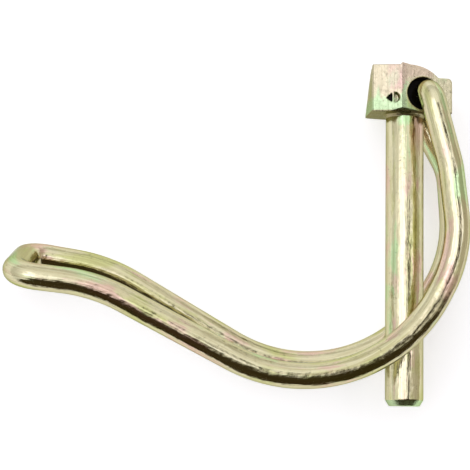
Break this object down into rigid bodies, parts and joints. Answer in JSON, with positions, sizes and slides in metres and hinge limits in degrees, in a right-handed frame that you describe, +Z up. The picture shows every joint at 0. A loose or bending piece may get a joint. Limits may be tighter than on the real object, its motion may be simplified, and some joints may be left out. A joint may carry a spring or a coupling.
{
  "type": "locking pin with wire loop",
  "caption": "Steel locking pin with a forged cross head and a sprung wire loop that folds round a tube and holds the pin in it.",
  "frame": {"origin": "on the axis of the pin, at the underside of the head", "axes": "+Y along the pin from its tip to its head, +Z up and along the hinge of the loop, +X away from the closed end of the loop"},
  "size_m": [0.0737, 0.0538, 0.017],
  "materials": {
    "plated_pin": "yellow zinc plating over forged and turned steel",
    "plated_wire": "yellow zinc plating over drawn spring wire"
  },
  "bodies": {
    "pin": {"forged_pin": "plated_pin"},
    "loop": {"wire_loop": "plated_wire"}
  },
  "joints": [
    {"name": "loop_swing", "type": "hinge", "parent": "pin", "child": "loop", "pos_m": [0.00275, 0.003, 0], "axis": [0, 0, 1], "range_deg": [-20, 180]}
  ]
}
